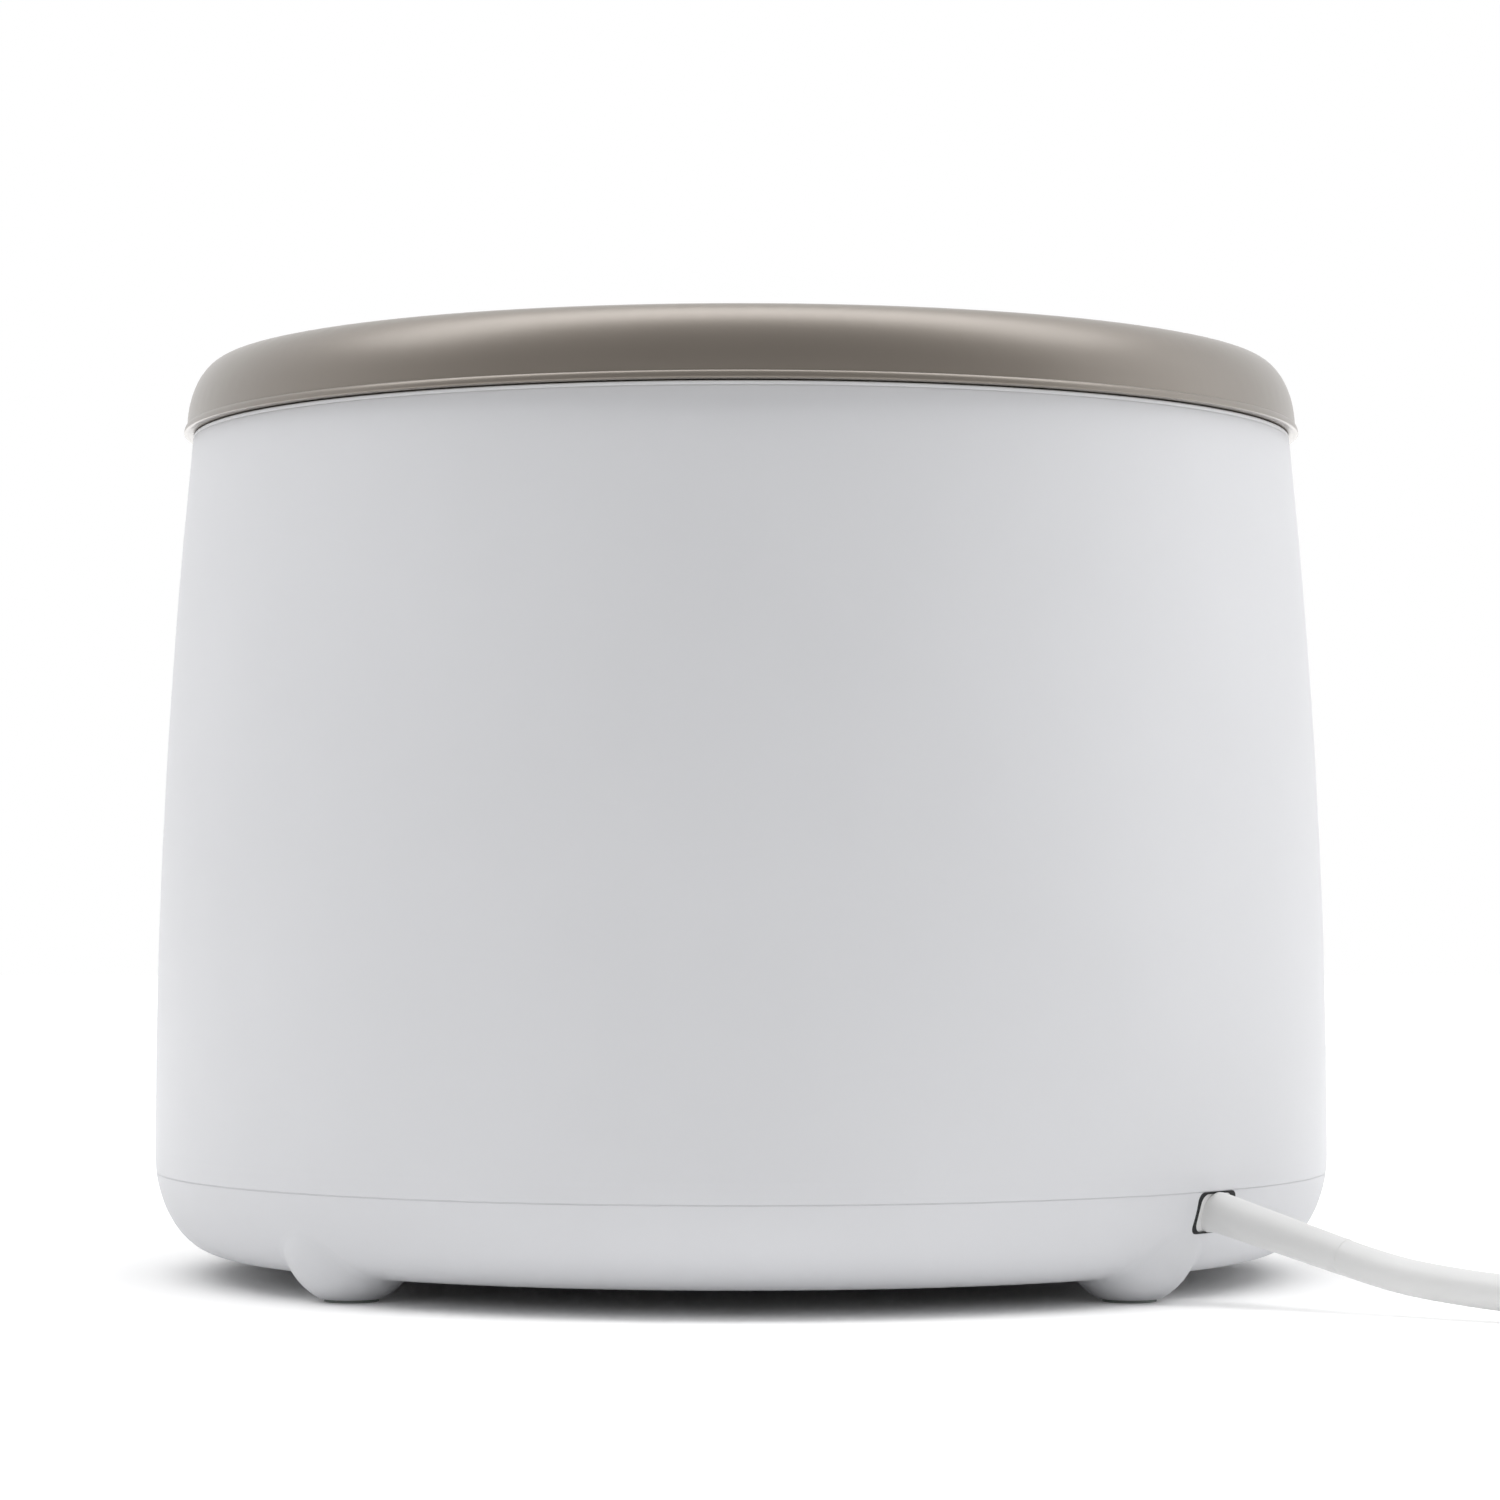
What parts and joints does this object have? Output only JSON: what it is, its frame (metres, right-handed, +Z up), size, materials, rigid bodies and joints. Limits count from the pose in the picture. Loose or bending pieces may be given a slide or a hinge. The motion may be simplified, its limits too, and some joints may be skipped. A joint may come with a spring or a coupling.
{
  "type": "yogurt maker",
  "caption": "Round countertop yogurt maker: tapering white housing on domed feet, domed taupe lift-off lid, heated well with a lidded tub, front display with push buttons, mains cord.",
  "frame": {"origin": "on the floor under the middle of the round body", "axes": "+Z up along the body's turning axis, controls towards -Y, pictured back towards +Y, cord leaves the rear left"},
  "size_m": [0.328, 0.2191, 0.1597],
  "materials": {
    "body_plastic": "satin moulded white",
    "lid_plastic": "satin moulded taupe",
    "panel_plastic": "satin moulded taupe",
    "button_plastic": "satin moulded white",
    "window_plastic": "smoked, polished",
    "display_plastic": "dark segment display",
    "foot_rubber": "soft grey rubber",
    "screw_steel": "zinc plated",
    "well_aluminium": "drawn, brushed",
    "seal_rubber": "silicone",
    "heater_foil": "amber film heater",
    "sensor_steel": "plain",
    "fuse_case": "plain",
    "circuit_board": "green lacquer",
    "black_plastic": "moulded",
    "capacitor_plastic": "moulded yellow",
    "terminal_plastic": "moulded",
    "tub_plastic": "natural polypropylene",
    "tub_lid_plastic": "natural polypropylene",
    "cord_sheath": "soft pale grey sheath",
    "tie_plastic": "flat tie",
    "pin_brass": "nickel plated",
    "wire_sheath": "wire sheath"
  },
  "bodies": {
    "body": {"base_pan": "body_plastic", "base_screws": "screw_steel", "capacitor": "capacitor_plastic", "coil_tie": "tie_plastic", "control_board": "circuit_board", "control_board_screws": "screw_steel", "control_panel": "panel_plastic", "cord_clamp": "terminal_plastic", "cord_clamp_screws": "screw_steel", "cord_coil": "cord_sheath", "cord_inner_end": "cord_sheath", "display_module": "display_plastic", "display_window": "window_plastic", "foot_pad_front_left": "foot_rubber", "foot_pad_front_right": "foot_rubber", "foot_pad_rear_left": "foot_rubber", "foot_pad_rear_right": "foot_rubber", "fuse_clip": "screw_steel", "heater_nuts": "screw_steel", "heater_plate": "well_aluminium", "heater_wires": "wire_sheath", "heating_element": "heater_foil", "housing": "body_plastic", "inner_well": "well_aluminium", "mains_wires": "wire_sheath", "panel_cable": "wire_sheath", "panel_header": "terminal_plastic", "panel_socket": "terminal_plastic", "plug_body": "cord_sheath", "plug_pins": "pin_brass", "power_board": "circuit_board", "power_board_screws": "screw_steel", "power_cord": "cord_sheath", "relay": "black_plastic", "sensor_clip": "screw_steel", "sensor_header": "terminal_plastic", "sensor_lead": "wire_sheath", "strain_relief": "cord_sheath", "tact_switches": "black_plastic", "temperature_sensor": "sensor_steel", "thermal_fuse": "fuse_case", "well_gasket": "seal_rubber", "wire_terminal": "terminal_plastic"},
    "tub": {"tub": "tub_plastic"},
    "tub_lid": {"tub_lid": "tub_lid_plastic", "tub_lid_seal": "seal_rubber"},
    "lid": {"lid": "lid_plastic"},
    "button_minus": {"button_minus": "button_plastic"},
    "button_power": {"button_power": "button_plastic"},
    "button_plus": {"button_plus": "button_plastic"}
  },
  "joints": [
    {"name": "tub_lift", "type": "slide", "parent": "body", "child": "tub", "axis": [0, 0, 1], "range_m": [0, 0.13]},
    {"name": "tub_lid_lift", "type": "slide", "parent": "tub", "child": "tub_lid", "axis": [0, 0, 1], "range_m": [0, 0.05]},
    {"name": "lid_lift", "type": "slide", "parent": "tub_lid", "child": "lid", "axis": [0, 0, 1], "range_m": [0, 0.1]},
    {"name": "button_minus_press", "type": "slide", "parent": "body", "child": "button_minus", "axis": [0, 1, 0], "range_m": [0, 0.0005], "stiffness_N_per_m": 2500},
    {"name": "button_power_press", "type": "slide", "parent": "body", "child": "button_power", "axis": [0, 1, 0], "range_m": [0, 0.0005], "stiffness_N_per_m": 2500},
    {"name": "button_plus_press", "type": "slide", "parent": "body", "child": "button_plus", "axis": [0, 1, 0], "range_m": [0, 0.0005], "stiffness_N_per_m": 2500}
  ]
}
